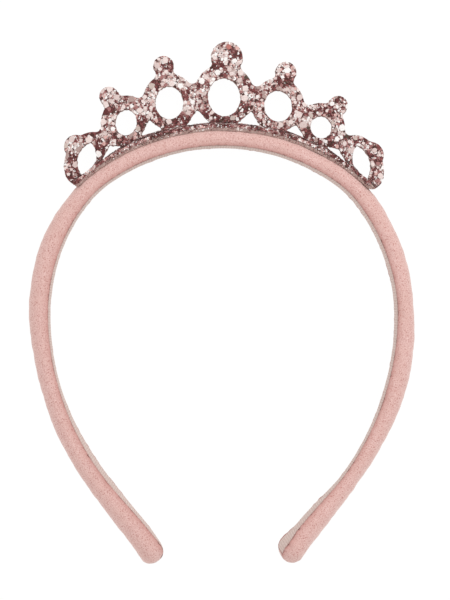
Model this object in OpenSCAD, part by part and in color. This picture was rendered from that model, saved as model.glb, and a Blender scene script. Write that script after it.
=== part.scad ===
// Mini crown headband: a padded horseshoe band wrapped in fabric, a ribbon let into its
// inner face, and a small crown cut from glitter sheet with a felt backing.
// It lies on its back edge. X runs across the band, Y from the tips up to the crown, and
// Z from the back edge to the front edge.

/* [Band] */
// Widest distance between the inner faces of the two sides
head_w = 107.2; // [90:0.2:126]
// Straight length of each leg, up to its rounded end
leg_l = 25.2; // [12:0.2:40]
// Width of the band, from its back edge to its front edge
band_w = 10.4; // [9:0.2:14]
// Thickness of the padded band, from its head side to its crest
band_t = 6; // [4.6:0.1:8]
// Width of the band at its tips
tip_w = 13.4; // [9:0.2:17]
// Thickness of the band at its tips
tip_t = 7.4; // [4.6:0.1:9]
// Width of the rolled edge on each side of the ribbon
roll_w = 0.9; // [0.6:0.1:1.6]

/* [Inner ribbon] */
// Thickness of the ribbon
ribbon_t = 1; // [0.6:0.1:1.5]
// Distance from the end of the ribbon to the end of the band
ribbon_stop = 1.4; // [1.2:0.2:6]

/* [Crown] */
// Height of the middle knob above the crest of the band
crown_h = 27; // [20:1:36]
// Length of the crown's foot, along the inner face of the band
crown_l = 91; // [76:1:100]
// Width of the rim round each hole
rim_w = 4.1; // [3:0.1:5]
// Radius of the middle knob
knob_r = 4.9; // [3.6:0.1:5.6]
// Radius that fills the valleys between the rings and the necks of the knobs
valley_r = 1.8; // [1:0.1:2.4]
// Height of the foot strip above the crest of the band
strip_h = 1.5; // [1.3:0.1:3]
// How far the foot reaches forward from the middle of the band
foot_reach = 4.1; // [2:0.1:4.3]
// Radius inside the bend between the foot and the upright sheet
bend_r = 0.6; // [0.4:0.1:1.5]
// Thickness of the glitter sheet
face_t = 0.5; // [0.4:0.1:1]
// Thickness of the felt backing
felt_t = 1; // [0.8:0.1:1.5]

/* [Fit] */
// Gap between pieces that are glued or sewn together
gap = 0.1; // [0.05:0.05:0.2]

/* [Hidden] */
$fn = 96;
// Steps round the foot's long arcs, and round the crown's small shapes
arc_steps = 180;
small_steps = 48;
// Steps round the crown's bend, and along its foot
bend_steps = 5;
foot_steps = 6;

// Head side of one half of the band, from the top to the straight leg, as tangent arcs.
// The first three turn a quarter circle together, and their radii set half of head_w.
// Columns: radius as a share of head_w, turn in degrees
RADIUS = 0;
TURN = 1;
head_curve = [
    [0.565, 36],
    [0.277, 16],
    [0.530, 38],
    [0.722, 27],
    [0.926, 13]
];
arcs = len(head_curve);

// How the cross-section changes from the top of the band to a tip.
// Columns: place as a share of half the band's length, share of the way from band_w to
// tip_w, share of the way from band_t to tip_t on the left and right, twist in degrees on
// the left and right, and how far the hand-bent band strays outwards, as a share of band_t
PLACE = 0;
WIDEN = 1;
THICKEN_L = 2;
THICKEN_R = 3;
TWIST_L = 4;
TWIST_R = 5;
STRAY_L = 6;
STRAY_R = 7;
band_rows = [
    [0.00, 0.00, 0.00, 0.00, 0, 0, 0.00, 0.00],
    [0.27, 0.00, 0.00, 0.00, 0, 0, 0.00, 0.00],
    [0.37, 0.00, 0.52, 0.00, 0, 0, 0.00, 0.00],
    [0.47, 0.00, 0.38, -0.24, 0, 0, -0.03, 0.04],
    [0.60, 0.00, -0.12, 0.26, -1, -2, -0.04, 0.05],
    [0.80, 0.30, 0.35, -0.53, 3, -4, -0.04, 0.14],
    [0.93, 0.95, 1.05, 0.62, -2, -1, -0.05, -0.01],
    [1.00, 1.00, 1.30, 1.15, -5, 9, 0.03, -0.03]
];

// The seven rings of the crown, from left to right.
// Columns: place as a share of half of crown_l, then as shares of crown_h the height of the
// hole's middle above the crest, half its long axis and half its short axis, then its lean
// to the left in degrees, its rim as a share of rim_w with the rim's own further lean,
// whether it is a pointed leaf, and its knob: radius as a share of knob_r, distance from
// the hole's middle as a share of crown_h, and lean to the left
ALONG = 0;
LIFT = 1;
LONG = 2;
SHORT = 3;
LEAN = 4;
RIM = 5;
RIM_LEAN = 6;
LEAF = 7;
KNOB = 8;
KNOB_OUT = 9;
KNOB_LEAN = 10;
rings = [
    [-0.845, 0.160, 0.20, 0.108, -14, 0.86, -14, 1, 0.75, 0.19, 41],
    [-0.547, 0.300, 0.15, 0.125, -9, 1.07, 0, 0, 0.61, 0.36, 33],
    [-0.287, 0.363, 0.19, 0.163, 2, 0.97, 0, 0, 0.64, 0.43, 9],
    [0.013, 0.363, 0.22, 0.190, 6, 1.08, 0, 0, 1.00, 0.46, -4],
    [0.312, 0.337, 0.18, 0.162, 10, 0.92, 0, 0, 0.66, 0.40, -13],
    [0.576, 0.268, 0.13, 0.122, 24, 0.99, 0, 0, 0.60, 0.32, -38],
    [0.880, 0.160, 0.21, 0.100, 16, 0.85, 12, 1, 0.86, 0.13, -50]
];

// The small three-cornered openings between the rings, from left to right.
// Columns: for the left corner, the peak and the right corner, each one's place as a share
// of half of crown_l and its height above the crest as a share of crown_h
openings = [
    [-0.79, 0.03, -0.69, 0.15, -0.62, 0.07],
    [-0.50, 0.09, -0.42, 0.24, -0.36, 0.08],
    [-0.22, 0.06, -0.14, 0.24, -0.07, 0.07],
    [0.09, 0.06, 0.17, 0.23, 0.24, 0.06],
    [0.39, 0.09, 0.44, 0.19, 0.52, 0.08],
    [0.64, 0.10, 0.73, 0.14, 0.84, 0.02]
];

// The rolled edge stands back from the ribbon's head side by this share of ribbon_t
edge_back = 0.2 * ribbon_t;
// The widest level of the padding, and the width of a knob's neck, as shares of the
// band's thickness and of the knob
waist = 0.36;
neck = 0.8;
// The dome's steps, the steps along half of the band, and those of its rounded ends
dome_steps = 12;
body_steps = 36;
end_turns = [20, 32, 44, 56, 68, 80, 90];
// The end wall of the ribbon's channel slopes over this length
channel_slope = 0.3 * ribbon_t;
// The ribbon's selvedge as a share of ribbon_t, and its flatter middle as a share of its width
selvedge = 0.25;
flat_share = 0.8;

// Arc radius, and heading, run and centre where each arc starts
function arc_r(i) = head_curve[i][RADIUS] * head_w;
function heading(i) = i == 0 ? 0 : heading(i - 1) + head_curve[i - 1][TURN];
function run(i) = i == 0 ? 0 : run(i - 1) + arc_r(i - 1) * head_curve[i - 1][TURN] * PI / 180;
function centre(i) = i == 0 ? [0, -arc_r(0)]
    : centre(i - 1) + (arc_r(i - 1) - arc_r(i)) * [sin(heading(i)), cos(heading(i))];
half_l = run(arcs) + leg_l;

// Heading, and place of the head side, at a distance s from the top, on the right half
function arc_at(s) = max([for (i = [0:arcs - 1]) if (run(i) <= s) i]);
function turned(s) = let (i = arc_at(s))
    min(heading(i) + (s - run(i)) / arc_r(i) * 180 / PI, heading(arcs));
function head_side(s) = let (i = arc_at(s), h = turned(s), straight = max(0, s - run(arcs)))
    centre(i) + arc_r(i) * [sin(h), cos(h)] + straight * [cos(h), -sin(h)];

// A point r out from the head side and u towards the front, on the right for s above 0
function on_band(s, r, u = 0) = let (h = turned(abs(s)), p = head_side(abs(s)))
    [(s < 0 ? -1 : 1) * (p.x + r * sin(h)), p.y + r * cos(h), u];

// A column of band_rows at a distance s from the top, eased between the rows
function row_at(x) = max([for (i = [0:len(band_rows) - 2]) if (band_rows[i][PLACE] <= x) i]);
function eased(s, column) = let (x = min(abs(s) / half_l, 1), i = row_at(x),
    a = band_rows[i], b = band_rows[i + 1], f = (x - a[PLACE]) / (b[PLACE] - a[PLACE]))
    a[column] + (b[column] - a[column]) * f * f * (3 - 2 * f);
function width(s) = band_w + (tip_w - band_w) * eased(s, WIDEN);
function thickness(s) = band_t + (tip_t - band_t) * eased(s, s < 0 ? THICKEN_L : THICKEN_R);
function twist(s) = eased(s, s < 0 ? TWIST_L : TWIST_R);
function stray(s) = band_t * eased(s, s < 0 ? STRAY_L : STRAY_R);

// How much of a cross-section's half size is left near a rounded end
function rounding(s, half) = let (d = 1 - (half_l - abs(s)) / half) d > 0 ? sqrt(1 - d * d) : 1;

// A cross-section given as [u, r] points, rounded off, twisted and set on the band
function ring(s, section) = let (mid = thickness(s) / 2, a = twist(s),
    narrow = rounding(s, width(s) / 2), thin = rounding(s, mid))
    [for (q = section) let (u = q.x * narrow, r = (q.y - mid) * thin)
        on_band(s, stray(s) + mid + u * sin(a) + r * cos(a), u * cos(a) - r * sin(a))];

// Half the width of the ribbon's channel
function channel(s) = width(s) / 2 - roll_w;

// The padded band's cross-section: a dome, two rolled edges and the ribbon's channel
function band_section(s) = let (w = width(s) / 2, t = thickness(s), low = t * waist,
    c = channel(s), open = half_l - abs(s) > ribbon_stop - gap - channel_slope / 2,
    floor_r = open ? ribbon_t + gap : edge_back / 2)
    concat(
        [for (k = [0:dome_steps]) let (a = 180 * k / dome_steps)
            [w * cos(a), low + (t - low) * sin(a)]],
        [for (a = [30, 60, 90])
            [-c - roll_w * cos(a), low - (low - edge_back) * sin(a)]],
        [[-c, floor_r], [c, floor_r]],
        [for (a = [90, 60, 30])
            [c + roll_w * cos(a), low - (low - edge_back) * sin(a)]]);

// The ribbon's cross-section, a little crowned towards the head
function ribbon_section(s) = let (c = channel(s) - gap, f = flat_share * c,
    edge = selvedge * ribbon_t, flat = selvedge * edge)
    [[c, ribbon_t], [-c, ribbon_t], [-c, edge], [-f, flat], [0, 0], [f, flat], [c, edge]];

// Distances from the top at which the two swept pieces have their rings
end_l = tip_w / 2;
body_s = [for (k = [0:body_steps - 1]) (half_l - end_l) * k / body_steps];
end_s = [for (i = [len(end_turns) - 1:-1:0]) half_l - end_l * (1 - cos(end_turns[i]))];
channel_end = half_l - ribbon_stop + gap;
band_half = concat(body_s,
    [for (s = end_s) if (s < channel_end - channel_slope) s],
    [channel_end, channel_end + channel_slope],
    [for (s = end_s) if (s > channel_end + 2 * channel_slope) s]);
ribbon_half = concat(body_s,
    [for (s = end_s) if (s < half_l - ribbon_stop - channel_slope) s], [half_l - ribbon_stop]);
function both_sides(half) = concat([for (i = [len(half) - 1:-1:1]) -half[i]], half);

band_rings = [for (s = both_sides(band_half)) ring(s, band_section(s))];
ribbon_rings = [for (s = both_sides(ribbon_half)) ring(s, ribbon_section(s))];

// The band rests on its back edge at the top and at both tips, so it is tilted a little
band_points = [for (one = band_rings) each one];
band_foot = min([for (p = band_points) p.y]);
rest_tilt = atan((tip_w - band_w) / 2 / (band_t - band_foot));
lift = -min([for (p = band_points) p.z * cos(rest_tilt) - p.y * sin(rest_tilt)]);

// The crown follows one arc, the band's first, past that arc's ends too
crown_r = arc_r(0);
crown_turn = crown_l / 2 / crown_r * 180 / PI;
function on_crown(turn, r) = [0, -crown_r] + (crown_r + r) * [sin(turn), cos(turn)];

// The middle of a ring's hole, and of its knob, seen from the front
function hole_at(g) = on_crown(g[ALONG] * crown_turn, band_t + g[LIFT] * crown_h);
function knob_at(g) = hole_at(g)
    + g[KNOB_OUT] * crown_h * [-sin(g[KNOB_LEAN]), cos(g[KNOB_LEAN])];
crown_top = max([for (g = rings) knob_at(g).y + g[KNOB] * knob_r]);

// The middle of the whole outline is the origin
mid_x = (max([for (p = band_points) p.x]) + min([for (p = band_points) p.x])) / 2;
mid_y = (crown_top + band_foot) / 2;

// The sheet stands behind the middle of the band, and its foot follows the dome forward.
// The foot's underside is an arc through the crest and the dome's level at its front edge
sheet_t = felt_t + gap + face_t;
dome_h = band_t * (1 - waist);
foot_drop = dome_h * (1 - sqrt(1 - pow(foot_reach / (band_w / 2), 2)));
foot_r = (foot_reach * foot_reach + foot_drop * foot_drop) / (2 * foot_drop);
foot_seat = band_t + gap;
bend_at = foot_seat + sheet_t + bend_r;
sheet_back = -bend_r - sheet_t;
foot_low = foot_seat - foot_drop;
// How far the uncut sheet and the cutting outline run past each other
spare = crown_h;

// The side profile's line at a depth d from the back of the sheet, which is also the
// underside of the foot: down the upright sheet, round the bend and along the foot
function ply_line(d) = let (r = bend_r + sheet_t - d, turn = asin(foot_reach / (foot_r + d)))
    concat([[crown_r + bend_at + crown_h + spare, sheet_back + d]],
        [for (k = [0:bend_steps]) let (a = 90 * k / bend_steps)
            [crown_r + bend_at - r * sin(a), -r * cos(a)]],
        [for (k = [1:foot_steps]) let (a = turn * k / foot_steps)
            [crown_r + foot_seat - foot_r + (foot_r + d) * cos(a), (foot_r + d) * sin(a)]]);

module at_rest() {
    translate([-mid_x, -mid_y, lift]) rotate([-rest_tilt, 0, 0]) children();
}

// A closed solid through a list of rings with equally many points
module swept(loops) {
    n = len(loops[0]);
    last = len(loops) - 1;
    polyhedron(
        points = [for (one = loops) each one],
        faces = concat(
            [[for (k = [0:n - 1]) k]],
            [for (i = [0:last - 1], k = [0:n - 1]) let (a = i * n + k, b = i * n + (k + 1) % n)
                each [[b, a, a + n], [b, a + n, b + n]]],
            [[for (k = [n - 1:-1:0]) last * n + k]]));
}

// The foot's strip, seen from the front, between the ends of the crown
module foot_outline() {
    far = crown_r + crown_h + spare;
    translate([0, -crown_r]) intersection() {
        difference() {
            circle(r = crown_r + band_t + strip_h, $fn = arc_steps);
            circle(r = crown_r + foot_low - sheet_t, $fn = arc_steps);
        }
        polygon([[0, 0], far * [-sin(crown_turn), cos(crown_turn)], [0, far],
            far * [sin(crown_turn), cos(crown_turn)]]);
    }
}

module oval(half_long, half_short) {
    scale([half_short, half_long]) circle(r = 1, $fn = small_steps);
}

// Two crossing arcs that meet in a point at each end
module leaf(half_long, half_short) {
    r = (half_long * half_long + half_short * half_short) / (2 * half_short);
    intersection() {
        translate([r - half_short, 0]) circle(r = r, $fn = small_steps);
        translate([half_short - r, 0]) circle(r = r, $fn = small_steps);
    }
}

module ring_rim(g) {
    rim = g[RIM] * rim_w;
    translate(hole_at(g)) rotate(g[LEAN] + g[RIM_LEAN])
        oval(g[LONG] * crown_h + rim, g[SHORT] * crown_h + rim);
}

module ring_knob(g) {
    r = g[KNOB] * knob_r;
    reach = g[KNOB_OUT] * crown_h;
    translate(knob_at(g)) circle(r = r, $fn = small_steps);
    translate(hole_at(g)) rotate(g[KNOB_LEAN])
        translate([-neck * r, 0]) square([2 * neck * r, reach]);
}

module ring_hole(g) {
    translate(hole_at(g)) rotate(g[LEAN])
        if (g[LEAF] == 1) leaf(g[LONG] * crown_h, g[SHORT] * crown_h);
        else oval(g[LONG] * crown_h, g[SHORT] * crown_h);
}

module opening(corners) {
    polygon([for (i = [0:2:4])
        on_crown(corners[i] * crown_turn, band_t + corners[i + 1] * crown_h)]);
}

// The crown seen from the front, before its foot is bent forward
module crown_outline() {
    difference() {
        offset(r = -valley_r, $fn = small_steps) offset(r = valley_r, $fn = small_steps) {
            foot_outline();
            for (g = rings) {
                ring_rim(g);
                ring_knob(g);
            }
        }
        for (g = rings) ring_hole(g);
        for (one = openings) opening(one);
    }
}

// Side profile of one ply: upright sheet, bend and foot
module ply_profile(from, to) {
    near = ply_line(from);
    far = ply_line(to);
    polygon(concat(near, [for (i = [len(far) - 1:-1:0]) far[i]]));
}

// One ply of the crown: its outline cut out of the bent sheet, which turns with the band
module crown_ply(from, to) {
    intersection() {
        translate([0, 0, sheet_back - spare])
            linear_extrude(foot_reach - sheet_back + 2 * spare) crown_outline();
        translate([0, -crown_r, 0]) rotate_extrude() ply_profile(from, to);
    }
}

module band() {
    color("#dcb2ab") at_rest() swept(band_rings);
}

module inner_ribbon() {
    color("#d7bfb8") at_rest() swept(ribbon_rings);
}

module crown() {
    color("#b59b98") at_rest() crown_ply(felt_t + gap, sheet_t);
}

module crown_backing() {
    color("#d8cdc8") at_rest() crown_ply(0, felt_t);
}

band();
inner_ribbon();
crown();
crown_backing();
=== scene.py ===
import math

import bpy
import numpy as np
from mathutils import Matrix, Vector
from mathutils.bvhtree import BVHTree


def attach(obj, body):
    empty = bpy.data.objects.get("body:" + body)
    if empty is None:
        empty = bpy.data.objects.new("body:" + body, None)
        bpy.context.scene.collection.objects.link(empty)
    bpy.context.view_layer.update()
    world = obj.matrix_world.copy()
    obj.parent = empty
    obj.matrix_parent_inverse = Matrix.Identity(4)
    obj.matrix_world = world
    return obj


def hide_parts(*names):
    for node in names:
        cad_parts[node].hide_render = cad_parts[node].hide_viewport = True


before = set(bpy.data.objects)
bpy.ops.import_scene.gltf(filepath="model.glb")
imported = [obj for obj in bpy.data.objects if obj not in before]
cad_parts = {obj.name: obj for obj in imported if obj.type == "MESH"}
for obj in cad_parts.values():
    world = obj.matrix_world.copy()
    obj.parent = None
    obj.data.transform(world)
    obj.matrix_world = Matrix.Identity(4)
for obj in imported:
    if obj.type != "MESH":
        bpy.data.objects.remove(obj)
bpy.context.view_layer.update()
MM = 0.001

# The part's own sizes, mm
# width between the inner sides, and the straight end of each leg
HEAD_W, LEG_L = 107.2, 25.2
# width and thickness of the band and of its tips, and radius of the rolled edges
BAND_W, BAND_T, TIP_W, TIP_T, ROLL = 10.4, 6.0, 13.4, 7.4, 0.9
# the ribbon's end before the tip, the clearance between pieces, how far the rolled edges stay
# off the head side, and the level of the widest point as a share of the thickness
STOP, GAP, BACK, WAIST = 1.4, 0.1, 0.2, 0.36
# the head side's arcs from the top down: radius as a share of HEAD_W, and angle
CURVE = [(0.565, 36), (0.277, 16), (0.530, 38), (0.722, 27), (0.926, 13)]
# place along a side; widening; thickening, twist and stray, each left and right
ROWS = np.array([
    [0.00, 0.00, 0.00, 0.00, 0, 0, 0.00, 0.00],
    [0.27, 0.00, 0.00, 0.00, 0, 0, 0.00, 0.00],
    [0.37, 0.00, 0.52, 0.00, 0, 0, 0.00, 0.00],
    [0.47, 0.00, 0.38, -0.24, 0, 0, -0.03, 0.04],
    [0.60, 0.00, -0.12, 0.26, -1, -2, -0.04, 0.05],
    [0.80, 0.30, 0.35, -0.53, 3, -4, -0.04, 0.14],
    [0.93, 0.95, 1.05, 0.62, -2, -1, -0.05, -0.01],
    [1.00, 1.00, 1.30, 1.15, -5, 9, 0.03, -0.03]])
# the arc that the crown follows, half its angle, the dome's radius under the foot, and how far
# above the arc the sheet bends
CROWN_R, CROWN_TURN, FOOT_R, BEND_AT = 60.568, 43.0418, 6.42548, 8.3
# the bend's radius, the foot's reach to the front, and the thickness of the two plies
BEND_R, FOOT_REACH, FACE_T, FELT_T = 0.6, 4.1, 0.5, 1.0
SHEET_T = FACE_T + GAP + FELT_T
CROWN_REACH = 28.5                  # the flat crown's highest point above its bend
SPREAD = math.radians(CROWN_TURN)   # half the angle that the crown takes up on its arc
CHANNEL_R, SHUT_R = 1.06, 0.08      # depth of the ribbon's channel, and past the ribbon's end
# the band's own frame to the resting part: shift, lift and tilt about x
MID_X, MID_Y, LIFT, TILT = -0.0960644, -47.9555, 5.34488, math.radians(0.636602)


def to_rest(p):
    """Points in mm from the band's own frame to the part's frame at rest."""
    p = np.asarray(p, float)
    c, s = math.cos(TILT), math.sin(TILT)
    return np.stack([p[..., 0] - MID_X, p[..., 1] * c + p[..., 2] * s - MID_Y,
                     p[..., 2] * c - p[..., 1] * s + LIFT], -1)


def from_rest(p):
    """Points in mm from the part's frame at rest back to the band's own frame."""
    p = np.asarray(p, float)
    c, s = math.cos(TILT), math.sin(TILT)
    y, z = p[..., 1] + MID_Y, p[..., 2] - LIFT
    return np.stack([p[..., 0] + MID_X, y * c - z * s, y * s + z * c], -1)


# The band's path
def lay_arcs():
    """The arcs as (distance from the top, heading, centre, radius), and where the last one ends."""
    arcs, heading, run, centre = [], 0.0, 0.0, None
    for share, turn in CURVE:
        radius = share * HEAD_W
        if centre is None:
            centre = np.array([0.0, -radius])
        else:
            outwards = np.array([math.sin(heading), math.cos(heading)])
            centre = centre + (arcs[-1][3] - radius) * outwards
        arcs.append((run, heading, centre, radius))
        run += radius * math.radians(turn)
        heading += math.radians(turn)
    return arcs, run


ARCS, END_RUN = lay_arcs()
HALF_L = END_RUN + LEG_L


def head_side(s):
    """x, y and heading of the head side at distances s from the top, on the right half."""
    s = np.abs(np.asarray(s, float))
    x, y, h = np.zeros_like(s), np.zeros_like(s), np.zeros_like(s)
    for i, (run, head, c, r) in enumerate(ARCS):
        last = i == len(ARCS) - 1
        m = (s >= run) if last else (s >= run) & (s < ARCS[i + 1][0])
        a = head + ((np.minimum(s, END_RUN) if last else s) - run) / r
        over = np.maximum(s - END_RUN, 0) if last else 0 * s
        x = np.where(m, c[0] + r * np.sin(a) + over * np.cos(a), x)
        y = np.where(m, c[1] + r * np.cos(a) - over * np.sin(a), y)
        h = np.where(m, a, h)
    return x, y, h


def eased(s, col):
    """The value of one column of ROWS at distances s, eased between the rows."""
    x = np.minimum(np.abs(s) / HALF_L, 1)
    i = np.clip(np.searchsorted(ROWS[:, 0], x, side="right") - 1, 0, len(ROWS) - 2)
    f = (x - ROWS[i, 0]) / (ROWS[i + 1, 0] - ROWS[i, 0])
    return ROWS[i, col] + (ROWS[i + 1, col] - ROWS[i, col]) * f * f * (3 - 2 * f)


def width(s):
    return BAND_W + (TIP_W - BAND_W) * eased(s, 1)


def thickness(s):
    return BAND_T + (TIP_T - BAND_T) * np.where(s < 0, eased(s, 2), eased(s, 3))


def place(s, u, r):
    """Section points (u across, r outwards) at distances s, rounded, twisted and set on the band.
    All arrays have the shape (rings, points); the result is in mm in the band's own frame."""
    mid = thickness(s) / 2
    turn = np.radians(np.where(s < 0, eased(s, 4), eased(s, 5)))
    stray = BAND_T * np.where(s < 0, eased(s, 6), eased(s, 7))
    left = HALF_L - np.abs(s)

    def shrink(half):
        d = np.clip(1 - left / half, 0, 1)
        return np.sqrt(np.maximum(1 - d * d, 0))
    uu, rr = u * shrink(width(s) / 2), (r - mid) * shrink(mid)
    out = stray + mid + uu * np.sin(turn) + rr * np.cos(turn)
    up = uu * np.cos(turn) - rr * np.sin(turn)
    x, y, h = head_side(s)
    side = np.where(s < 0, -1.0, 1.0)
    return np.stack([side * (x + out * np.sin(h)), y + out * np.cos(h), up + 0 * x], -1)


# Helpers
def waves(seed, s, v, count, short, long, slant=1.0):
    """A smooth random field over distances s and v in mm, with about unit size."""
    rng = np.random.default_rng(seed)
    out = 0
    for _ in range(count):
        k = 2 * math.pi / math.exp(rng.uniform(math.log(short), math.log(long)))
        a = rng.uniform(-1, 1) * slant
        out = out + np.sin(k * (s * math.cos(a) + v * math.sin(a)) + rng.uniform(0, 6.28))
    return out * math.sqrt(2 / count)


def link_object(name, data):
    ob = bpy.data.objects.new(name, data)
    bpy.context.scene.collection.objects.link(ob)
    return ob


def mesh_object(name, verts, faces, smooth=True):
    me = bpy.data.meshes.new(name)
    me.from_pydata(np.asarray(verts, float).tolist(), [], faces)
    me.polygons.foreach_set("use_smooth", [smooth] * len(me.polygons))
    me.update()
    return link_object(name, me)


def set_uv(me, name, uv):
    layer = me.uv_layers.new(name=name)
    layer.data.foreach_set("uv", np.asarray(uv, np.float32).ravel())


def tube(name, pts, along, around, rows=5):
    """A closed skin through rings of points in mm, with a map in mm and a map for its texture."""
    m, n = pts.shape[:2]
    verts = to_rest(pts.reshape(-1, 3)) * MM
    i, k = np.meshgrid(np.arange(m - 1), np.arange(n), indexing="ij")
    k2 = (k + 1) % n
    quads = np.stack([i * n + k, (i + 1) * n + k, (i + 1) * n + k2, i * n + k2], -1).reshape(-1, 4)
    faces = quads.tolist() + [list(range(n)), list(range(m * n - 1, (m - 1) * n - 1, -1))]
    ob = mesh_object(name, verts, faces)

    def corners(corner):
        """The map of every quad, from a function of the distances along and around."""
        return np.stack([corner(along[i], around[k]), corner(along[i + 1], around[k]),
                         corner(along[i + 1], around[k + 1]), corner(along[i], around[k + 1])],
                        2).reshape(-1, 2)
    ends = [[along[0], around[j]] for j in range(n)]
    ends += [[along[-1], around[n - 1 - j]] for j in range(n)]
    thread = corners(lambda a, b: np.stack([a, b], -1))
    set_uv(ob.data, "thread", np.concatenate([thread, np.array(ends)]))
    # the texture's map: the tube cut into rows one above the other, its two ends above each row
    per = math.ceil((m - 1) / rows)
    row = i // per
    start = along[np.minimum(row * per, m - 1)]
    span = max(along[min((q + 1) * per, m - 1)] - along[q * per] for q in range(rows))

    def flat(a, b):
        return np.stack([0.01 + 0.98 * (a - start) / span,
                         (row + 0.03 + 0.84 * b / around[-1]) / rows], -1)
    turn = np.arange(n) / n * 2 * math.pi
    disc = 0.045 / rows * np.stack([np.cos(turn), np.sin(turn)], -1)
    caps = np.concatenate([disc + [0.05, 0.94 / rows], disc[::-1] + [0.15, 0.94 / rows]])
    set_uv(ob.data, "OFBake", np.concatenate([corners(flat), caps]))
    return ob


def add_field(ob, name, values):
    """A value per point, which a material reads by name."""
    a = ob.data.attributes.new(name, "FLOAT", "POINT")
    a.data.foreach_set("value", np.asarray(values, np.float32).ravel())


def girth(u, r):
    """The running length round the middle ring of a tube, from its first point back to it."""
    u, r = u[len(u) // 2], r[len(r) // 2]
    step = np.hypot(np.diff(np.append(u, u[0])), np.diff(np.append(r, r[0])))
    return np.concatenate([[0], np.cumsum(step)])


def push_out(pts, amount):
    """Moves the points of a closed tube along its normals by amount, in mm."""
    ds = np.gradient(pts, axis=0)
    dk = np.roll(pts, -1, axis=1) - np.roll(pts, 1, axis=1)
    nrm = np.cross(dk, ds)
    nrm /= np.maximum(np.linalg.norm(nrm, axis=-1, keepdims=True), 1e-9)
    centre = pts.mean(axis=1, keepdims=True)
    flip = np.sign(np.sum((pts - centre) * nrm, axis=(1, 2)))[:, None, None]
    return pts + nrm * flip * amount[..., None]


# Materials
def lin(r, g, b):
    """A colour given in sRGB, 0 to 255, as the linear RGBA that the nodes take."""
    return tuple((c / 255 / 12.92 if c / 255 <= 0.04045 else ((c / 255 + 0.055) / 1.055) ** 2.4)
                 for c in (r, g, b)) + (1.0,)


class Shader:
    """A material with a Principled shader and short names for the nodes that drive it."""

    def __init__(self, name, **sockets):
        self.mat = bpy.data.materials.new(name)
        self.mat.use_nodes = True
        self.t = self.mat.node_tree
        self.t.nodes.clear()
        self.out = self.t.nodes.new("ShaderNodeOutputMaterial")
        self.bsdf = self.t.nodes.new("ShaderNodeBsdfPrincipled")
        self.link(self.bsdf.outputs[0], self.out.inputs["Surface"])
        for key, value in sockets.items():
            self.bsdf.inputs[key.replace("_", " ")].default_value = value

    def link(self, a, b):
        self.t.links.new(a, b)

    def put(self, node, key, value):
        """Links a socket, or sets a plain value."""
        sock = node.inputs[key]
        if isinstance(value, bpy.types.NodeSocket):
            self.link(value, sock)
        else:
            sock.default_value = value

    def coords(self):
        return self.t.nodes.new("ShaderNodeTexCoord").outputs["Object"]

    def uv(self, name):
        n = self.t.nodes.new("ShaderNodeUVMap")
        n.uv_map = name
        return n.outputs[0]

    def scaled(self, vec, scale):
        m = self.t.nodes.new("ShaderNodeMapping")
        self.link(vec, m.inputs["Vector"])
        m.inputs["Scale"].default_value = scale
        return m.outputs[0]

    def noise(self, vec, scale, detail=2.0, rough=0.5, distortion=0.0):
        n = self.t.nodes.new("ShaderNodeTexNoise")
        self.link(vec, n.inputs["Vector"])
        for key, value in (("Scale", scale), ("Detail", detail), ("Roughness", rough),
                           ("Distortion", distortion)):
            n.inputs[key].default_value = value
        return n.outputs[0]

    def cells(self, vec, scale, output="Distance", feature="F1"):
        n = self.t.nodes.new("ShaderNodeTexVoronoi")
        n.feature = feature
        self.link(vec, n.inputs["Vector"])
        n.inputs["Scale"].default_value = scale
        return n.outputs[output]

    def wave(self, vec, scale, direction="X", distortion=0.0, detail=1.0):
        n = self.t.nodes.new("ShaderNodeTexWave")
        n.wave_type, n.bands_direction = "BANDS", direction
        self.link(vec, n.inputs["Vector"])
        for key, value in (("Scale", scale), ("Distortion", distortion), ("Detail", detail)):
            n.inputs[key].default_value = value
        return n.outputs[1]

    def field(self, name, output="Fac"):
        n = self.t.nodes.new("ShaderNodeAttribute")
        n.attribute_name = name
        return n.outputs[output]

    def math(self, op, a, b=0.0, clamp=False):
        n = self.t.nodes.new("ShaderNodeMath")
        n.operation, n.use_clamp = op, clamp
        self.put(n, 0, a)
        self.put(n, 1, b)
        return n.outputs[0]

    def ramp(self, fac, stops, mode="LINEAR"):
        n = self.t.nodes.new("ShaderNodeValToRGB")
        n.color_ramp.interpolation = mode
        e = n.color_ramp.elements
        while len(e) < len(stops):
            e.new(0.5)
        for one, (pos, col) in zip(e, stops):
            one.position = pos
            one.color = col if isinstance(col, tuple) else (col, col, col, 1)
        self.link(fac, n.inputs[0])
        return n.outputs[0]

    def mix(self, fac, a, b):
        n = self.t.nodes.new("ShaderNodeMix")
        n.data_type = "RGBA"
        self.put(n, 0, fac)
        self.put(n, 6, a)
        self.put(n, 7, b)
        return n.outputs[2]

    def bump(self, height, strength, distance):
        n = self.t.nodes.new("ShaderNodeBump")
        self.link(height, n.inputs["Height"])
        n.inputs["Strength"].default_value = strength
        n.inputs["Distance"].default_value = distance
        return n.outputs[0]

    def separate(self, col):
        """The red, green and blue of a colour."""
        n = self.t.nodes.new("ShaderNodeSeparateColor")
        self.link(col, n.inputs[0])
        return n.outputs

    def set(self, **links):
        for key, value in links.items():
            self.link(value, self.bsdf.inputs[key.replace("_", " ")])
        return self.mat


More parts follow.
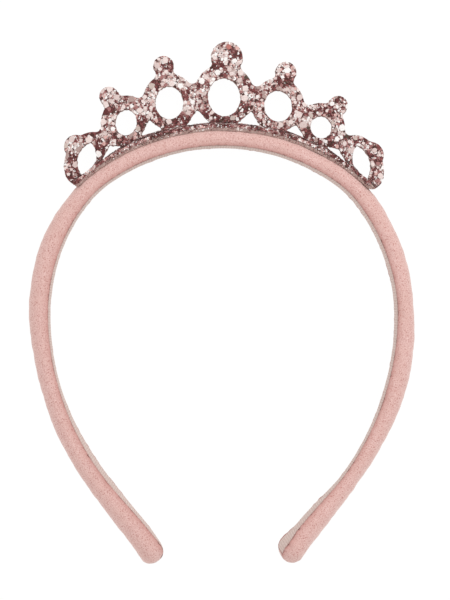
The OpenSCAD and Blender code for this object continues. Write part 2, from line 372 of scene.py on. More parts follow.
def pink_fabric():
    """The band's wrap: a fine knit with flecks, with painted shade beside the seams and a thin
    painted shadow in them.
    """
    m = Shader("pink_fabric", Roughness=0.92, Sheen_Weight=0.8, Sheen_Roughness=0.5,
               Sheen_Tint=lin(206, 202, 196), Specular_IOR_Level=0.15)
    obj, thread = m.coords(), m.uv("thread")
    grain = m.noise(obj, 3400, 2.5, 0.62)
    blotch = m.noise(obj, 150, 2, 0.5)
    col = m.ramp(grain, [(0.30, lin(198, 149, 142)), (0.50, lin(224, 184, 177)),
                         (0.70, lin(242, 210, 204))])
    col = m.mix(m.ramp(blotch, [(0.35, 0.0), (0.65, 0.35)]), col, lin(219, 179, 169))
    # fine knitted loops, in wales along the band
    wale = m.wave(thread, 0.62, "Y", 0.4, 1)
    loop = m.wave(m.scaled(thread, (1, 0.6, 1)), 0.74, "X", 0.8, 1)
    knit = m.math("MULTIPLY", wale, loop)
    col = m.mix(m.ramp(knit, [(0.0, 0.16), (0.35, 0.0)]), col, lin(196, 142, 134))
    # dark flecks, more of them in some places
    fleck = m.ramp(m.cells(obj, 1650), [(0.16, 1.0), (0.38, 0.0)])
    often = m.ramp(m.noise(obj, 560, 0), [(0.30, 0.35), (0.54, 0.95)])
    col = m.mix(m.math("MULTIPLY", fleck, often), col, lin(182, 122, 115))
    # painted shade beside the seams, where the fabric rolls down into the groove
    col = m.mix(m.math("MULTIPLY", m.field("soft"), 0.72), col, lin(190, 134, 126))
    # the thin dark line in the seams: painted shadow of the groove, broken into dashes
    broken = m.ramp(m.noise(thread, 0.55, 2), [(0.30, 0.55), (0.55, 1.0)])
    seam = m.math("MULTIPLY", m.field("seam"), broken, True)
    col = m.mix(seam, col, lin(138, 78, 73))
    height = m.math("ADD", m.math("MULTIPLY", grain, 0.6), m.math("MULTIPLY", knit, 0.4))
    n = m.bump(height, 0.55, 0.00012)
    rough = m.ramp(grain, [(0.3, 0.96), (0.7, 0.84)])
    return m.set(Base_Color=col, Normal=n, Roughness=rough)


def ribbon_cloth():
    """The inner ribbon: ribs across it from the mesh, and a fine warp along it."""
    m = Shader("ribbon_cloth", Roughness=0.8, Sheen_Weight=0.3, Sheen_Roughness=0.4,
               Sheen_Tint=lin(222, 214, 204), Specular_IOR_Level=0.25)
    obj, thread = m.coords(), m.uv("thread")
    rib = m.field("rib")
    warp = m.wave(thread, 1.15, "Y", 0.6, 2)
    grain = m.noise(obj, 2600, 2, 0.6)
    col = m.ramp(grain, [(0.25, lin(196, 172, 163)), (0.55, lin(215, 192, 184)),
                         (0.8, lin(230, 211, 203))])
    col = m.mix(m.ramp(rib, [(0.0, 0.42), (0.6, 0.0)]), col, lin(176, 148, 139))
    col = m.mix(m.ramp(warp, [(0.0, 0.22), (0.4, 0.0)]), col, lin(184, 158, 149))
    # painted shade towards the ribbon's edges beside the seams, and on its side hidden in the
    # channel
    col = m.mix(m.math("MULTIPLY", m.field("edge"), 0.35), col, lin(184, 142, 134))
    height = m.math("ADD", m.math("MULTIPLY", warp, 0.6), m.math("MULTIPLY", grain, 0.5))
    return m.set(Base_Color=col, Normal=m.bump(height, 0.5, 0.00008),
                 Roughness=m.ramp(rib, [(0.0, 0.92), (1.0, 0.70)]))


def sewing_thread():
    """Twisted thread, darker than the fabric."""
    m = Shader("sewing_thread", Roughness=0.6, Sheen_Weight=0.2, Specular_IOR_Level=0.35)
    turn = m.wave(m.uv("thread"), 3.0, "DIAGONAL", 0.2, 1)
    col = m.ramp(turn, [(0.0, lin(112, 62, 57)), (0.6, lin(164, 106, 98)),
                        (1.0, lin(190, 134, 125))])
    return m.set(Base_Color=col, Normal=m.bump(turn, 0.6, 0.00004))


def glitter_ground():
    """The fine glitter and dark glue between the larger flakes."""
    m = Shader("glitter_ground", Metallic=0.15, Roughness=0.45, Specular_IOR_Level=0.4)
    obj = m.coords()
    # each cell is one grain, with a tone, a gloss and a height of its own
    tone, gloss, height = m.separate(m.cells(obj, 4600, "Color"))
    col = m.ramp(tone, [(0.0, lin(74, 46, 44)), (0.35, lin(104, 62, 60)), (0.58, lin(126, 78, 76)),
                        (0.78, lin(160, 108, 104)), (0.93, lin(214, 178, 172))], "CONSTANT")
    clump = m.noise(obj, 330, 2, 0.6)
    col = m.mix(m.ramp(clump, [(0.35, 0.75), (0.6, 0.0)]), col, lin(84, 50, 48))
    gap = m.cells(obj, 4600, "Distance", "DISTANCE_TO_EDGE")
    col = m.mix(m.ramp(gap, [(0.02, 0.8), (0.12, 0.0)]), col, lin(56, 34, 32))
    return m.set(Base_Color=col, Roughness=m.ramp(gloss, [(0.0, 0.25), (1.0, 0.7)]),
                 Normal=m.bump(height, 0.6, 0.00012))


def glitter_flake():
    """The chips: each has its own tone, and the dark ones look more metallic."""
    m = Shader("glitter_flake", Roughness=0.42, Specular_IOR_Level=0.2)
    col = m.field("tone", "Color")
    grey = m.t.nodes.new("ShaderNodeRGBToBW")
    m.link(col, grey.inputs[0])
    film = m.noise(m.coords(), 2400, 2, 0.5)
    col = m.mix(m.ramp(film, [(0.35, 0.16), (0.6, 0.0)]), col, lin(120, 84, 82))
    return m.set(Base_Color=col, Metallic=m.ramp(grey.outputs[0], [(0.08, 0.45), (0.55, 0.12)]),
                 Normal=m.bump(film, 0.12, 0.00006))


def cut_edge():
    """The cut edge of the glitter sheet: brownish card with grains of glitter in it."""
    m = Shader("cut_edge", Roughness=0.8, Specular_IOR_Level=0.2)
    obj = m.coords()
    n = m.noise(obj, 1500, 3, 0.65)
    col = m.ramp(n, [(0.25, lin(104, 72, 67)), (0.5, lin(158, 126, 118)),
                     (0.75, lin(206, 184, 175))])
    grain = m.cells(obj, 3200)
    col = m.mix(m.ramp(grain, [(0.12, 0.7), (0.30, 0.0)]), col, lin(92, 56, 54))
    return m.set(Base_Color=col, Normal=m.bump(n, 0.5, 0.0001))


def felt():
    """The backing: matted fibres and a little fluff."""
    m = Shader("felt", Roughness=0.95, Sheen_Weight=0.4, Sheen_Roughness=0.6,
               Sheen_Tint=lin(235, 230, 224), Specular_IOR_Level=0.1)
    obj = m.coords()
    fibre = m.noise(obj, 1700, 5, 0.72, 2.2)
    fluff = m.noise(obj, 420, 3, 0.6)
    col = m.ramp(fibre, [(0.30, lin(134, 106, 100)), (0.50, lin(180, 152, 144)),
                         (0.72, lin(210, 188, 179))])
    col = m.mix(m.ramp(fluff, [(0.38, 0.4), (0.62, 0.0)]), col, lin(150, 116, 109))
    return m.set(Base_Color=col, Normal=m.bump(fibre, 0.7, 0.00018))


def floor_paper():
    """White paper that keeps some glow of its own, so that it stays even and white."""
    m = Shader("floor_paper", Roughness=0.9, Specular_IOR_Level=0.0)
    n = m.noise(m.coords(), 900, 2)
    col = m.ramp(n, [(0.0, lin(250, 250, 250)), (1.0, lin(255, 255, 255))])
    m.set(Base_Color=col)
    glow = m.t.nodes.new("ShaderNodeEmission")
    glow.inputs["Strength"].default_value = 1.02
    mixed = m.t.nodes.new("ShaderNodeMixShader")
    mixed.inputs[0].default_value = 0.95
    m.link(m.bsdf.outputs[0], mixed.inputs[1])
    m.link(glow.outputs[0], mixed.inputs[2])
    m.link(mixed.outputs[0], m.out.inputs["Surface"])
    return m.mat


# The padded band
# rings every half millimetre, and closer together round the tips
END_L = TIP_W / 2
even_part = np.arange(0, HALF_L - END_L, 0.5)
tip_part = HALF_L - END_L * (1 - np.cos(np.radians(np.linspace(90, 8, 26))))
right_side = np.concatenate([even_part, tip_part])
S = np.concatenate([-right_side[:0:-1], right_side])
DOME_N, ROLL_N = 41, 9              # points on the dome and on each rolled edge


def smooth(x):
    x = np.clip(x, 0, 1)
    return x * x * (3 - 2 * x)


def past_ribbon(s):
    """0 along the ribbon's channel and 1 past its end, where the wrap is closed."""
    return 1 - smooth((HALF_L - np.abs(s) - STOP + 0.4) / 0.5)


def band_sections(s):
    """Section points of the wrapped band: the dome, a roll, the channel and the other roll."""
    w, t = width(s)[:, None] / 2, thickness(s)[:, None]
    low, c = t * WAIST, w - ROLL
    a = np.linspace(0, math.pi, DOME_N)[None]
    b = np.linspace(0, math.pi / 2, ROLL_N + 1)[None, 1:]
    floor_r = CHANNEL_R + (SHUT_R - CHANNEL_R) * past_ribbon(s)[:, None]
    curl = [(0.05, 0.215), (0.085, 0.28), (0.10, 0.40), (0.10, 0.62), (0.10, 2.0)]
    floor_u = [-0.72, -0.3, 0.0, 0.3, 0.72]
    u = [w * np.cos(a), -c - ROLL * np.cos(b)]
    r = [low + (t - low) * np.sin(a), low - (low - BACK) * np.sin(b)]
    for du, cr in curl:
        u.append(-c + du)
        r.append(np.minimum(cr + 0 * t, floor_r))
    for f in floor_u:
        u.append(f * c)
        r.append(floor_r)
    for du, cr in curl[::-1]:
        u.append(c - du)
        r.append(np.minimum(cr + 0 * t, floor_r))
    u.append(c + ROLL * np.cos(b[:, ::-1]))
    r.append(low - (low - BACK) * np.sin(b[:, ::-1]))
    return [np.concatenate([q + 0 * w for q in part], 1) for part in (u, r)]


u, r = band_sections(S)
N = u.shape[1]
around = girth(u, r)
seam_1, seam_2 = DOME_N + ROLL_N, N - ROLL_N
# each point's distance round the section, V, and along the band, SS
V = around[:-1][None]
SS = S[:, None]
# the distance from the nearer seam, and what lies in the channel or nearer the far seam
dist = np.minimum(np.abs(V - around[seam_1]), np.abs(V - around[seam_2]))
inside = (np.arange(N) > seam_1) & (np.arange(N) < seam_2)
far_side = np.abs(V - around[seam_1]) < np.abs(V - around[seam_2])
pts = place(SS, u, r)
tip = smooth((np.abs(SS) - (HALF_L - 11)) / 9)
lump = 0.045 * waves(3, SS, V * 0.8, 12, 5, 22) + 0.022 * waves(4, SS, V, 14, 1.8, 4.5)
pucker = np.exp(-(dist / 1.3) ** 2) * (0.055 * waves(5, SS, V * 0.35, 12, 1.3, 3.4, 0.4) - 0.03)
pucker = pucker * np.where(far_side, 0.4, 1.0)
# pleats at the tips: place round the band, lean and depth
PLEATS = ((4.2, 0.16, 0.16), (7.6, -0.10, 0.14), (10.4, 0.12, 0.16), (13.2, -0.2, 0.12))
pleat = 0
for at, lean, size in PLEATS:
    line = V - at - lean * (np.abs(SS) - HALF_L) - 0.3 * np.sign(SS)
    pleat = pleat - size * np.exp(-(line / 0.42) ** 2)
shift = lump + pucker + 0.85 * tip * pleat + 0.05 * tip * waves(6, SS, V, 12, 1.6, 4)
shift = shift * np.where(inside[None], 0.25, 1.0)
pts = push_out(pts, shift + 0 * pts[..., 0])
band = tube("band_wrap", pts, S, around)
# the two seams for the fabric's colour: a thin dark line of painted shadow in the groove, and a
# band of painted shade on both sides of it, where the fabric rolls in
vary = 0.75 + 0.25 * waves(8, SS, 0 * SS, 10, 4, 30)
# the painted seam shadow is deeper towards the tips
tip_shade = 1 + 0.5 * tip
seam_w = np.where(far_side, 0.20, 0.28)
seam = np.where(far_side, 0.4 - 0.3 * tip, 1.0) * np.exp(-(np.where(inside, 0, dist) / seam_w) ** 2)
seam = seam * np.clip(vary * tip_shade, 0.35, 1.3)
seam = seam * np.where(inside[None], 1 - 0.75 * past_ribbon(SS), 1.0)
add_field(band, "seam", np.clip(seam, 0, 1) + 0 * pts[..., 0])
add_field(band, "soft", np.exp(-(dist / 1.25) ** 2) * (0.8 + 0.2 * vary) + 0 * pts[..., 0])
band.data.materials.append(pink_fabric())
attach(band, "root")
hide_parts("band")

# The ribbed ribbon
RIB, RIB_STEPS = 0.84, 6            # one rib's length in mm, and rings in it
FACE_N = 19                         # points across the face that shows
RIM_R, HIDDEN_R = 0.42, 0.95        # the ribbon's edges, and its hidden side in the channel
rs = np.arange(0, HALF_L - STOP - 0.05, RIB / RIB_STEPS)
rs = np.concatenate([-rs[:0:-1], rs])
ru = np.concatenate([np.linspace(-1, 1, FACE_N), [0.97, 0.0, -0.97]])
reach = width(rs)[:, None] / 2 - ROLL - GAP
side = np.abs(ru)[None]
ribs = 0.5 + 0.5 * np.cos(2 * math.pi * rs / RIB)[:, None]
face = (np.arange(len(ru)) < FACE_N)[None]
swell = 0.05 + 0.22 * side ** 6 - 0.014 * ribs * (1 - side ** 8)
edge_wave = 0.03 * waves(11, rs, 0 * rs, 10, 1.2, 4)[:, None]
rr = np.where(face, swell + 0.02 * waves(12, rs, 0 * rs, 8, 4, 16)[:, None], HIDDEN_R)
rr = np.where((side >= 1) & face, RIM_R, rr)
uu = ru[None] * (reach + edge_wave * (side > 0.9))
ribbon_pts = place(rs[:, None], uu, rr)
ribbon = tube("ribbon", ribbon_pts, rs, girth(uu, rr))
add_field(ribbon, "rib", np.where(face, ribs, 0.5) + 0 * uu)
# how much painted shade the ribbon gets: more towards its edges, and full on its hidden side
add_field(ribbon, "edge", np.where(face, side ** 10, 1.0) + 0 * uu)
ribbon.data.materials.append(ribbon_cloth())
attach(ribbon, "root")
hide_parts("inner_ribbon")

# The stitches of the two seams
THREAD_N, THREAD_SIDES = 5, 6       # points along a stitch and round it
rng = np.random.default_rng(21)
stitch_v, stitch_f, stitch_uv = [], [], []


def stitch(path, thick):
    """A closed six-sided thread along the points of path, thinner at its ends."""
    base = len(stitch_v)
    along = path[-1] - path[0]
    along /= np.linalg.norm(along)
    across = np.cross(along, [0, 0, 1.0])
    across /= np.linalg.norm(across)
    beside = np.cross(along, across)
    for j, p in enumerate(path):
        wide = thick * (0.55 if j in (0, THREAD_N - 1) else 1.0)
        for q in range(THREAD_SIDES):
            a = q * 2 * math.pi / THREAD_SIDES
            stitch_v.append(p + wide * (math.cos(a) * across + math.sin(a) * beside))
    for j in range(THREAD_N - 1):
        for q in range(THREAD_SIDES):
            a, b = (base + j * THREAD_SIDES + k % THREAD_SIDES for k in (q, q + 1))
            stitch_f.append([a, b, b + THREAD_SIDES, a + THREAD_SIDES])
            x0, x1 = q / THREAD_SIDES, (q + 1) / THREAD_SIDES
            y0, y1 = j / (THREAD_N - 1), (j + 1) / (THREAD_N - 1)
            stitch_uv.extend([(x0, y0), (x1, y0), (x1, y1), (x0, y1)])
    for ring, order in ((0, -1), (THREAD_N - 1, 1)):
        stitch_f.append([base + ring * THREAD_SIDES + q for q in range(THREAD_SIDES)][::order])
        stitch_uv.extend([(0.5, 0.5)] * THREAD_SIDES)


for sign in (-1, 1):                # the far seam, then the near one
    s = -HALF_L + 2.6
    while s < HALF_L - 2.6:
        near_tip = abs(s) > HALF_L - 16
        if near_tip and sign < 0:
            s += 1.4
            continue
        c = float(width(np.array(s)) / 2 - ROLL)
        slant = rng.uniform(0.25, 0.6) * sign
        path = []
        for f in np.linspace(0, 1, THREAD_N):
            uq = sign * (c + 0.34 - 0.72 * f)
            rq = 0.44 - 0.17 * math.sin(math.pi * f) - 0.1 * f + (0.0 if sign > 0 else 0.06)
            point = place(np.array([[s + slant * (f - 0.5)]]), np.array([[uq]]), np.array([[rq]]))
            path.append(point[0, 0])
        thick = rng.uniform(0.055, 0.08) * (1.4 if near_tip else 1.0) * (1.0 if sign > 0 else 0.7)
        stitch(np.array(path), thick)
        s += rng.uniform(1.15, 1.75) * (0.8 if near_tip else 1.0)
stitches = mesh_object("stitches", to_rest(np.array(stitch_v)) * MM, stitch_f)
set_uv(stitches.data, "thread", stitch_uv)
stitches.data.materials.append(sewing_thread())
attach(stitches, "root")

# The crown's two plies
SHEET_FRONT = -BEND_R
BEND_L = BEND_R * math.pi / 2
FOOT_FRONT_R = FOOT_R + SHEET_T
FOOT_L = FOOT_FRONT_R * math.asin(FOOT_REACH / FOOT_FRONT_R)
LOWEST = -(BEND_L + FOOT_L)         # the foot's front edge on the flat pattern


def above_bend(vx, vy):
    """How far a point of the flat pattern lies above the bend; the foot is below 0."""
    return np.hypot(vx, vy + CROWN_R) - CROWN_R - BEND_AT


def on_sheet(vx, vy, h=0.0):
    """Bends the flat pattern: a point of the flat sheet, h above its glitter side, in mm."""
    vx, vy = np.asarray(vx, float), np.asarray(vy, float)
    turn = np.arctan2(vx, vy + CROWN_R)
    t = above_bend(vx, vy)
    a = np.clip(-t / BEND_R, 0, math.pi / 2)
    q = np.maximum(-t - BEND_L, 0) / FOOT_FRONT_R
    foot = q > 0
    rad = np.where(t >= 0, CROWN_R + BEND_AT + t, np.where(
        foot, CROWN_R + BEND_AT - BEND_R - FOOT_FRONT_R + FOOT_FRONT_R * np.cos(q),
        CROWN_R + BEND_AT - BEND_R * np.sin(a)))
    z = np.where(t >= 0, SHEET_FRONT, np.where(foot, FOOT_FRONT_R * np.sin(q), -BEND_R * np.cos(a)))
    nr = np.where(foot, np.cos(q), np.sin(a))
    nz = np.where(foot, np.sin(q), np.cos(a))
    rad, z = rad + h * nr, z + h * nz
    return np.stack([rad * np.sin(turn), rad * np.cos(turn) - CROWN_R, z], -1)


cad_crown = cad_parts["crown"].data
crown_co = from_rest(np.array([v.co for v in cad_crown.vertices]) / MM)
cad_crown.calc_loop_triangles()
tris = [list(t.vertices) for t in cad_crown.loop_triangles]
tree = BVHTree.FromPolygons([Vector(p) for p in crown_co], tris)
DOWN = Vector((0, 0, -1))


def on_crown(x, y, z):
    """Whether the sheet's front lies under a point, and less than 0.35 mm under it."""
    hit = tree.ray_cast(Vector((x, y, 30.0)), DOWN)
    return hit[0] is not None and hit[0].z > z - 0.35


def bare_copy(name, node):
    """A new object with a copy of a CAD node's mesh and without its material."""
    ob = link_object(name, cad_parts[node].data.copy())
    ob.data.materials.clear()
    return ob


def glitter_ply(name, node, front_mat, edge_mat):
    """A copy of a CAD ply whose faces know the glitter side from the cut edges."""
    ob = bare_copy(name, node)
    me = ob.data
    me.name = name
    for m in (front_mat, edge_mat):
        me.materials.append(m)
    co = from_rest(np.array([v.co for v in me.vertices]) / MM)
    index = []
    for f in me.polygons:
        p = co[list(f.vertices)].mean(0)
        ring = above_bend(p[0], p[1])
        # distance of the face's middle from the glitter side's profile line
        if ring >= 0:
            off = abs(p[2] - SHEET_FRONT)
        elif p[2] < 0:
            off = abs(math.hypot(ring, p[2]) - BEND_R)
        else:
            off = abs(math.hypot(ring + BEND_R + FOOT_FRONT_R, p[2]) - FOOT_FRONT_R)
        index.append(0 if off < 0.03 else 1)
    me.polygons.foreach_set("material_index", index)
    me.update()
    return ob


sheet = glitter_ply("glitter_card", "crown", glitter_ground(), cut_edge())
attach(sheet, "root")
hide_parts("crown")

# the felt ply gets an even mesh, which waves then roughen
felt_ob = bare_copy("felt_back", "crown_backing")
mod = felt_ob.modifiers.new("even", "REMESH")
mod.mode, mod.voxel_size = "VOXEL", 0.32 * MM
deps = bpy.context.evaluated_depsgraph_get()
even = bpy.data.meshes.new_from_object(felt_ob.evaluated_get(deps))
felt_ob.modifiers.clear()
felt_ob.data = even
even.name = "felt_back"
co, nrm = np.zeros((2, len(even.vertices), 3))
even.vertices.foreach_get("co", co.ravel())
even.vertices.foreach_get("normal", nrm.ravel())
mm = co / MM
rough = 0.025 * waves(31, mm[:, 0], mm[:, 1] + mm[:, 2], 16, 0.9, 3.0, 3.1)
rough += 0.02 * waves(32, mm[:, 1], mm[:, 0] - mm[:, 2], 16, 0.7, 1.6, 3.1)
# the soft cut edges stand out past the card, but not towards the band
own = from_rest(mm)
level = np.hypot(own[:, 0], own[:, 1] + CROWN_R)
upward = (nrm[:, 0] * own[:, 0] + nrm[:, 1] * (own[:, 1] + CROWN_R)) / level
free = (level > CROWN_R + BEND_AT + 0.3) | (upward > 0.2)
fringe = 0.09 + 0.07 * waves(33, own[:, 0], own[:, 1], 18, 0.9, 3.5, 3.1)
rough += smooth((0.8 - np.abs(nrm[:, 2])) / 0.5) * free * np.clip(fringe, 0.0, 0.24)
even.vertices.foreach_set("co", (co + nrm * (rough[:, None] - 0.02) * MM).ravel())
even.polygons.foreach_set("use_smooth", [True] * len(even.polygons))
even.update()
even.materials.clear()
even.materials.append(felt())
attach(felt_ob, "root")
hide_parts("crown_backing")

# The glitter's flakes
# white is the palest flakes, and also painted glints where the glitter sparkles
TONES = {
    "white": (255, 250, 247), "blush": (240, 222, 217), "pale": (224, 203, 198),
    "sand": (208, 190, 181), "taupe": (182, 156, 150), "salmon": (192, 122, 114),
    "pink": (226, 182, 175), "rose": (170, 120, 117), "wine": (130, 74, 73),
    "maroon": (100, 52, 52), "brown": (80, 50, 44), "olive": (88, 72, 62)}
NAMES = list(TONES)
FOOT_EDGE = 0.03                    # the chips stop this far short of the foot's front edge
rng = np.random.default_rng(77)
flake_v, flake_f, flake_tone = [], [], []


def clump(vx, vy):
    """Where the glitter lies darker and finer, about -1.5 to 1.5."""
    return waves(41, vx, vy, 14, 2.6, 9, 3.1)


def shade(vx, vy):
    """The glitter is darker along the foot and between the rings than up in the knobs."""
    return 0.75 - 1.15 * smooth((above_bend(vx, vy) + 1.0) / 9.0)


def patch(vx, vy):
    """Smaller patches of one tone."""
    return waves(42, vx, vy, 18, 1.0, 3.2, 3.1)


def on_flat(vx, vy):
    """Whether a point of the flat pattern lies on the sheet."""
    return above_bend(vx, vy) > LOWEST + FOOT_EDGE and on_crown(*on_sheet(vx, vy))


def flake(vx, vy, size, sides, rise, tilt, tone, parts):
    """One flake: a flat many-sided chip that the cut of the sheet trims. Each side has a number
    of parts; with more than one, the chip is a fan round its middle and follows the bend."""
    if not on_crown(*on_sheet(vx, vy)):
        return
    start, lean = rng.uniform(0, 6.28), rng.uniform(0, 6.28)
    corners = []
    for q in range(sides):
        way, far = start + 2 * math.pi * q / sides, size * rng.uniform(0.74, 1.12)
        corners.append((vx + far * math.cos(way), vy + far * math.sin(way)))
    rim = []
    for (ax, ay), (bx, by) in zip(corners, corners[1:] + corners[:1]):
        for j in range(parts):
            rim.append((ax + (bx - ax) * j / parts, ay + (by - ay) * j / parts))
    rim = np.array(rim)
    # a point past the cut moves back along its line to the middle, halving the step six times
    past_foot = above_bend(rim[:, 0], rim[:, 1]) < LOWEST + FOOT_EDGE
    for j, point in enumerate(on_sheet(rim[:, 0], rim[:, 1])):
        if not past_foot[j] and on_crown(*point):
            continue
        (x, y), keep, lose = rim[j], 0.0, 1.0
        for _ in range(6):
            f = (keep + lose) / 2
            if on_flat(vx + (x - vx) * f, vy + (y - vy) * f):
                keep = f
            else:
                lose = f
        rim[j] = (vx + (x - vx) * keep, vy + (y - vy) * keep)
    away = (rim[:, 0] - vx) * math.cos(lean) + (rim[:, 1] - vy) * math.sin(lean)
    height = rise + size * math.tan(tilt) + away * math.tan(tilt)
    base, count = len(flake_v), len(rim)
    flake_v.extend(on_sheet(rim[:, 0], rim[:, 1], np.maximum(height, 0.015)))
    if parts == 1:
        flake_f.append(list(range(base, base + count)))
        flake_tone.append(tone)
    else:
        flake_v.append(on_sheet(vx, vy, rise + size * math.tan(tilt)))
        for j in range(count):
            flake_f.append([base + j, base + (j + 1) % count, base + count])
            flake_tone.append(tone)


def pick(names, weights):
    """A random tone's place in NAMES."""
    w = np.array(weights, float)
    return NAMES.index(names[rng.choice(len(names), p=w / w.sum())])


def scatter(count):
    """Random places over the flat pattern, evenly by area."""
    r0, r1 = CROWN_R + BEND_AT + LOWEST, CROWN_R + BEND_AT + CROWN_REACH
    rad = np.sqrt(rng.uniform(r0 * r0, r1 * r1, count))
    turn = rng.uniform(-SPREAD - 0.03, SPREAD + 0.03, count)
    return rad * np.sin(turn), rad * np.cos(turn) - CROWN_R


# some chips that catch the eye, listed one by one: x, y, radius and tone
CHIPS = (
    (2.2, 31.4, 1.0, "salmon"), (4.0, 27.0, 0.8, "white"), (1.2, 27.6, 0.75, "white"),
    (-1.8, 29.1, 0.7, "white"), (6.0, 23.5, 1.1, "blush"), (5.5, 21.0, 0.9, "pale"),
    (7.1, 15.4, 1.1, "blush"), (10.6, 14.8, 0.5, "brown"), (-6.2, 20.8, 1.0, "white"),
    (-10.4, 20.2, 1.2, "pale"), (-9.1, 14.3, 0.8, "white"), (-17.6, 27.4, 1.2, "blush"),
    (-34.8, 18.4, 1.2, "blush"), (-32.7, 15.7, 1.1, "pale"), (-37.0, 8.2, 1.2, "blush"),
    (20.4, 24.2, 1.1, "white"), (24.2, 15.6, 1.1, "pale"), (15.8, 12.8, 1.0, "blush"),
    (31.5, 9.6, 1.0, "pale"), (-25.6, 11.5, 1.0, "blush"))
big = [chip[:2] for chip in CHIPS]
for x, y, size, name in CHIPS:
    flake(x, y, size, 6, 0.31, 0.0, NAMES.index(name), 4)
# the large pale chips, apart from each other
xs, ys = scatter(3000)
cl = clump(xs, ys) + shade(xs, ys)
for x, y, k in zip(xs, ys, cl):
    if above_bend(x, y) < 0.9 or k > 0.9 + rng.uniform(-0.5, 0.5):
        continue
    if not on_crown(*on_sheet(x, y)):
        continue
    if any((x - bx) ** 2 + (y - by) ** 2 < (2.3 + rng.uniform(0, 2.2)) ** 2 for bx, by in big):
        continue
    big.append((x, y))
    tone = pick(["white", "blush", "pale", "sand", "taupe"], [14, 32, 32, 14, 8])
    flake(x, y, rng.uniform(0.6, 1.25), rng.integers(4, 8), rng.uniform(0.24, 0.30),
          math.radians(rng.uniform(0, 3)), tone, 4)
# middle-sized chips
xs, ys = scatter(2900)
cl = clump(xs, ys) + 0.5 * patch(xs, ys) + 0.8 * shade(xs, ys)
for x, y, k in zip(xs, ys, cl):
    if above_bend(x, y) < 0.2:
        continue
    if k > 0.3:
        tone = pick(["maroon", "wine", "brown", "rose", "olive", "pale", "white"],
                    [30, 26, 14, 12, 5, 6, 9])
    else:
        tone = pick(["white", "blush", "pale", "rose", "wine", "taupe", "pink"],
                    [18, 24, 24, 8, 6, 12, 10])
    flake(x, y, rng.uniform(0.34, 0.72), rng.integers(4, 8), rng.uniform(0.13, 0.19),
          math.radians(rng.uniform(0, 6)), tone, 2)
# fine glitter over everything, in patches of like tone
LADDER = [["brown", "maroon", "olive"], ["maroon", "wine", "brown"], ["wine", "rose", "maroon"],
          ["rose", "taupe", "wine"], ["pink", "pale", "taupe"], ["blush", "white", "pale"]]


def fine_tone(k):
    """A tone for a small grain, darker where k is high."""
    # one grain in twenty is white, a painted glint
    if rng.uniform() < 0.05:
        return NAMES.index("white")
    step = int(np.clip(3.3 - 1.4 * (k + rng.normal(0, 0.36)), 0, len(LADDER) - 1))
    return pick(LADDER[step], [5, 4, 2])


xs, ys = scatter(34000)
cl = 0.7 * clump(xs, ys) + 0.75 * patch(xs, ys) + 0.8 * shade(xs, ys)
for x, y, k in zip(xs, ys, cl):
    flake(x, y, rng.uniform(0.17, 0.38), 6, rng.uniform(0.02, 0.10),
          math.radians(rng.uniform(0, 14)), fine_tone(k), 1)
# grains along the foot's front edge, where they hang over the cut a little
EDGE_IN = BAND_T + GAP - FOOT_R + math.sqrt((FOOT_R + FELT_T + GAP) ** 2 - FOOT_REACH ** 2)
EDGE_OUT = BAND_T + GAP - FOOT_R + math.sqrt(FOOT_FRONT_R ** 2 - FOOT_REACH ** 2)
ON_CARD, ON_FELT = 2600, 400        # tries on the card's edge, and then on the felt's


def edge_grain(low, high, most):
    """One grain on the foot's edge, between two distances from the crest, up to a largest size."""
    a, rad = rng.uniform(-SPREAD, SPREAD), rng.uniform(low, high)
    size = rng.uniform(0.12, most)
    x, y = (CROWN_R + rad) * math.sin(a), (CROWN_R + rad) * math.cos(a) - CROWN_R
    beside = CROWN_R + max(rad, EDGE_IN + 0.1)
    if not on_crown(beside * math.sin(a), beside * math.cos(a) - CROWN_R, FOOT_REACH):
        return
    start, lean = rng.uniform(0, 6.28), rng.uniform(0, 6.28)
    slope = math.tan(math.radians(rng.uniform(0, 25)))
    rise = rng.uniform(0.02, 0.12)
    flake_f.append(list(range(len(flake_v), len(flake_v) + 6)))
    for q in range(6):
        c, d = math.cos(start + q * math.pi / 3), math.sin(start + q * math.pi / 3)
        grow = size * rng.uniform(0.86, 1.08)
        away = c * math.cos(lean) + d * math.sin(lean)
        z = FOOT_REACH + rise + size * slope * (1 + away)
        flake_v.append(np.array([x + grow * c, y + grow * d, z]))
    flake_tone.append(fine_tone(0.7 * clump(x, y) + 0.75 * patch(x, y) + 0.6))


for _ in range(ON_CARD):
    edge_grain(EDGE_IN, EDGE_OUT + 0.1, 0.30)
for _ in range(ON_FELT):
    edge_grain(EDGE_IN - 0.95, EDGE_IN, 0.20)

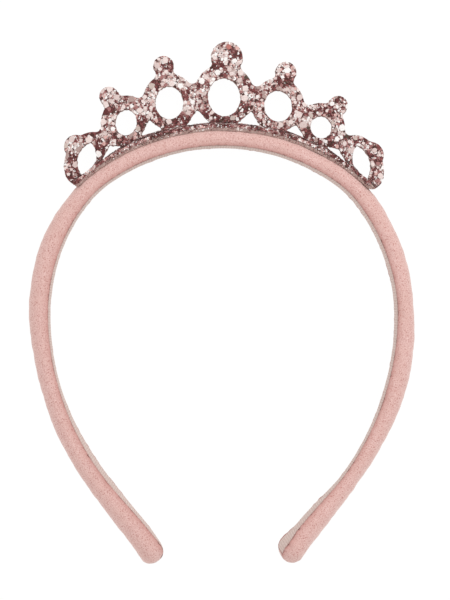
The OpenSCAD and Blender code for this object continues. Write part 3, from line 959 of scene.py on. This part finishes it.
flakes = mesh_object("glitter_flakes", to_rest(np.array(flake_v)) * MM, flake_f, smooth=False)
me = flakes.data
tones = np.array([lin(*TONES[n]) for n in NAMES], np.float32)
loops = np.zeros(len(me.polygons), np.int32)
me.polygons.foreach_get("loop_total", loops)
per_loop = np.repeat(np.array(flake_tone), loops)
attr = me.color_attributes.new("tone", "FLOAT_COLOR", "CORNER")
attr.data.foreach_set("color", tones[per_loop].ravel())
# on the texture's map each tone has a cell of its own, in a grid of 4 by 3
vi = np.zeros(len(me.loops), np.int32)
me.loops.foreach_get("vertex_index", vi)
flat_v = np.array(flake_v)[vi][:, :2]
cell = np.stack([per_loop % 4, per_loop // 4], -1)
place_in = (flat_v - flat_v.min(0)) / (flat_v.max(0) - flat_v.min(0))
set_uv(me, "OFBake", (cell + 0.08 + 0.84 * place_in) / [4, 3])
flakes.data.materials.append(glitter_flake())
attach(flakes, "root")

# Floor, light and camera
bpy.ops.mesh.primitive_plane_add(size=6, location=(0, 0, -0.0002))
floor = bpy.context.object
floor.name = "floor"
floor.data.materials.append(floor_paper())

world = bpy.data.worlds.new("studio")
world.use_nodes = True
background = world.node_tree.nodes["Background"]
background.inputs["Color"].default_value = (1, 1, 1, 1)
background.inputs["Strength"].default_value = 0.78
bpy.context.scene.world = world


def softbox(name, where, size, power):
    """A square area light that points at the origin."""
    light = bpy.data.lights.new(name, "AREA")
    light.shape, light.size, light.energy = "SQUARE", size, power
    ob = link_object(name, light)
    ob.location = where
    ob.rotation_euler = (-Vector(where)).to_track_quat("-Z", "Y").to_euler()


softbox("key", (0.75, 0.65, 1.0), 0.9, 6.6)
softbox("fill", (-0.8, 0.3, 1.0), 0.8, 2.0)

cam = bpy.data.cameras.new("camera")
cam.sensor_width, cam.sensor_fit, cam.lens = 36, "AUTO", 91.63
cam.shift_x, cam.shift_y = 38 / 600, -16 / 600     # shares of the frame's height
cam.clip_start, cam.clip_end = 0.01, 10
eye = link_object("camera", cam)
eye.location = (-0.010732, 0.0055555, 0.480)
eye.rotation_euler = (0, 0, 0)
bpy.context.scene.camera = eye
bpy.context.scene.view_settings.view_transform = "Standard"
